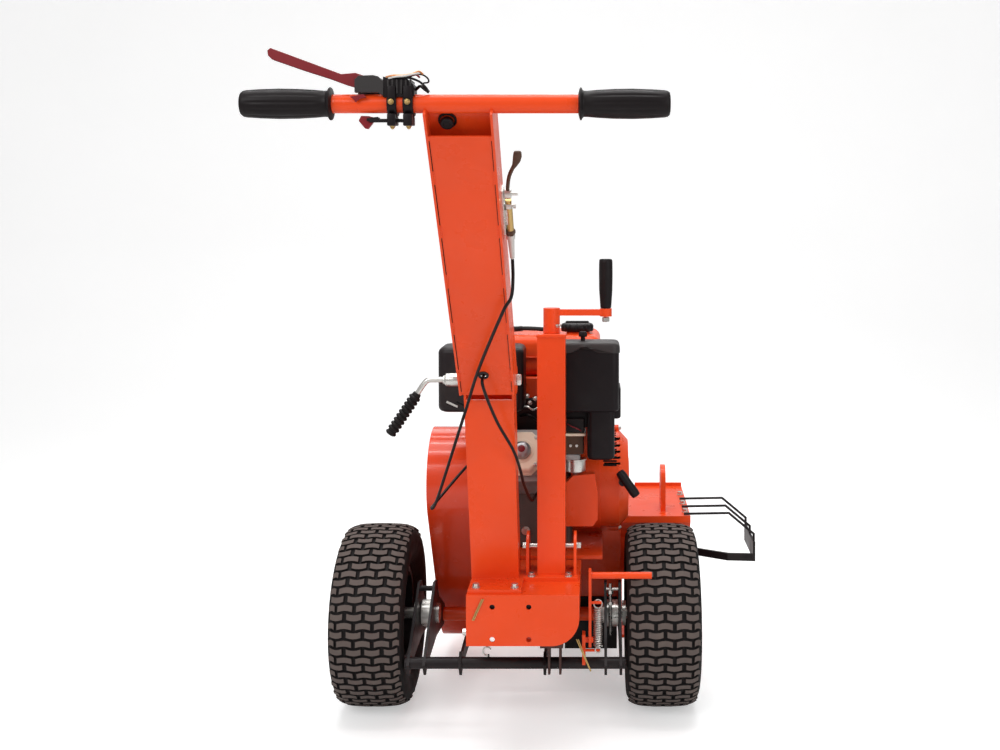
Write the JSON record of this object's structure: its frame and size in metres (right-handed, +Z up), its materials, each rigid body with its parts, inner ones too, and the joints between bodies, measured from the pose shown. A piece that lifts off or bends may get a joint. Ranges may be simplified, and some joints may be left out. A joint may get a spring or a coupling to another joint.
{
  "type": "stump grinder",
  "caption": "Walk-behind stump grinder: petrol engine, belt-driven cutter in a side housing, two turf wheels on a jack-lifted carriage, and a tilting T handle.",
  "frame": {"origin": "on the ground, below the middle of the overall box", "axes": "+X to the operator's right, +Y forward towards the cutter, +Z up"},
  "size_m": [0.973, 1.3664, 1.3851],
  "materials": {
    "orange_paint": "glossy powder coat",
    "black_paint": "semi-gloss black enamel",
    "red_lever": "dark red coated",
    "zinc": "bright zinc plate",
    "raw_steel": "oiled steel",
    "cast_alloy": "as cast",
    "dark_alloy": "dark as cast",
    "cover_cream": "satin",
    "tyre_rubber": "turf tread, dusty",
    "flap_rubber": "matt",
    "black_plastic": "moulded, slight sheen",
    "grip_rubber": "moulded grooves",
    "belt_rubber": "fabric faced",
    "cable_sheath": "smooth"
  },
  "bodies": {
    "frame": {"air_cleaner": "black_plastic", "base_box": "orange_paint", "belt_backplate": "orange_paint", "belt_cover": "orange_paint", "carburetor": "cast_alloy", "chassis": "orange_paint", "control_cables": "cable_sheath", "crankcase": "dark_alloy", "cutter_housing": "orange_paint", "cylinder": "cast_alloy", "debris_guard": "black_paint", "drive_belts": "belt_rubber", "engine_guard": "orange_paint", "fan_shroud": "orange_paint", "frame_bolts": "zinc", "fuel_hose": "flap_rubber", "fuel_tank": "orange_paint", "handle_post": "orange_paint", "jack_bracket": "orange_paint", "jack_outer_tube": "orange_paint", "muffler": "black_paint", "recoil_cover": "orange_paint", "rubber_flaps": "flap_rubber", "shaft_bearings": "dark_alloy", "skid_shoes": "orange_paint", "starter_rope": "cable_sheath", "valve_cover": "cover_cream"},
    "carriage": {"carriage_frame": "black_paint", "axle_hubs": "zinc", "lock_link_and_clips": "zinc", "pedal_bracket": "orange_paint"},
    "left_wheel": {"left_tyre": "tyre_rubber", "left_rim": "black_paint"},
    "right_wheel": {"right_tyre": "tyre_rubber", "right_rim": "black_paint"},
    "lock_pedal": {"lock_pedal": "orange_paint", "return_spring": "zinc"},
    "jack_slide": {"jack_inner_tube": "raw_steel"},
    "jack_crank": {"jack_screw": "raw_steel", "crank_arm": "orange_paint"},
    "crank_grip": {"crank_grip": "grip_rubber"},
    "mast": {"mast": "orange_paint", "handlebar": "orange_paint", "handle_grips": "grip_rubber", "lever_perch": "black_plastic", "cable_lever_bracket": "zinc"},
    "hand_lever": {"hand_lever": "red_lever"},
    "lever_lock": {"lever_lock": "red_lever"},
    "cable_lever": {"cable_lever": "zinc"},
    "kill_switch": {"kill_switch": "black_plastic"},
    "clamp_lever": {"clamp_lever": "zinc", "clamp_grip": "grip_rubber"},
    "cutter": {"cutter_shaft": "raw_steel", "cutter_disc": "raw_steel", "driven_pulley": "raw_steel"},
    "crankshaft": {"crankshaft": "raw_steel", "flywheel": "cast_alloy", "drive_pulley": "raw_steel"},
    "starter_grip": {"starter_grip": "black_plastic"},
    "fuel_cap": {"fuel_cap": "black_plastic"}
  },
  "joints": [
    {"name": "jack_crank_turn", "type": "hinge", "parent": "frame", "child": "jack_crank", "pos_m": [-0.002, 0.00418, 0.6], "axis": [0, 0, 1], "range_deg": [-1800, 2160]},
    {"name": "carriage_tilt", "type": "hinge", "parent": "frame", "child": "carriage", "pos_m": [-0.082, 0.28918, 0.16], "axis": [1, 0, 0], "range_deg": [-8.1, 9.7]},
    {"name": "jack_travel", "type": "slide", "parent": "frame", "child": "jack_slide", "axis": [0, 0, 1], "range_m": [-0.0485, 0.0405]},
    {"name": "crank_grip_spin", "type": "hinge", "parent": "jack_crank", "child": "crank_grip", "pos_m": [0.115, 0.00418, 0.97], "axis": [0, 0, 1], "continuous": true},
    {"name": "left_wheel_spin", "type": "hinge", "parent": "carriage", "child": "left_wheel", "pos_m": [-0.407, 0.16918, 0.203], "axis": [1, 0, 0], "continuous": true},
    {"name": "right_wheel_spin", "type": "hinge", "parent": "carriage", "child": "right_wheel", "pos_m": [0.243, 0.16918, 0.203], "axis": [1, 0, 0], "continuous": true},
    {"name": "lock_pedal_tilt", "type": "hinge", "parent": "carriage", "child": "lock_pedal", "pos_m": [0.081, -0.01582, 0.207], "axis": [1, 0, 0], "range_deg": [0, 30], "stiffness_Nm_per_rad": 2, "springref_deg": -5.73, "deforming": ["return_spring"]},
    {"name": "mast_tilt", "type": "hinge", "parent": "frame", "child": "mast", "pos_m": [-0.12, -0.16282, 0.79], "axis": [1, 0, 0], "range_deg": [-25, 20], "deforming": ["control_cables"]},
    {"name": "hand_lever_squeeze", "type": "hinge", "parent": "mast", "child": "hand_lever", "pos_m": [-0.258, -0.65618, 1.3221], "axis": [0, -1, 0], "range_deg": [0, 10], "stiffness_Nm_per_rad": 0.5, "springref_deg": -5.73},
    {"name": "lever_lock_turn", "type": "hinge", "parent": "mast", "child": "lever_lock", "pos_m": [-0.254, -0.65618, 1.2671], "axis": [0, 1, 0], "range_deg": [0, 12]},
    {"name": "cable_lever_turn", "type": "hinge", "parent": "mast", "child": "cable_lever", "pos_m": [-0.0555, -0.50407, 1.15555], "axis": [1, 0, 0], "range_deg": [-35, 35]},
    {"name": "kill_switch_press", "type": "slide", "parent": "mast", "child": "kill_switch", "axis": [0, 0.7431, 0.6691], "range_m": [0, 0.004]},
    {"name": "clamp_turn", "type": "hinge", "parent": "mast", "child": "clamp_lever", "pos_m": [-0.212, -0.16282, 0.79], "axis": [1, 0, 0], "range_deg": [-60, 90]},
    {"name": "crankshaft_spin", "type": "hinge", "parent": "frame", "child": "crankshaft", "pos_m": [-0.082, 0.27418, 0.495], "axis": [1, 0, 0], "continuous": true},
    {"name": "cutter_spin", "type": "hinge", "parent": "frame", "child": "cutter", "pos_m": [-0.082, 0.47918, 0.165], "axis": [1, 0, 0], "continuous": true},
    {"name": "starter_pull", "type": "slide", "parent": "frame", "child": "starter_grip", "axis": [0, -1, 0], "range_m": [0, 0.45], "deforming": ["starter_rope"]},
    {"name": "fuel_cap_turn", "type": "hinge", "parent": "frame", "child": "fuel_cap", "pos_m": [0.048, 0.26918, 0.85], "axis": [0, 0, 1], "range_deg": [0, 90]}
  ],
  "couplings": [
    {"joint": "carriage_tilt", "follows": "jack_crank_turn", "ratio": 0.0044675},
    {"joint": "jack_travel", "follows": "jack_crank_turn", "m_per_rad": -0.0012732},
    {"joint": "crankshaft_spin", "follows": "cutter_spin", "ratio": 0.80645}
  ]
}
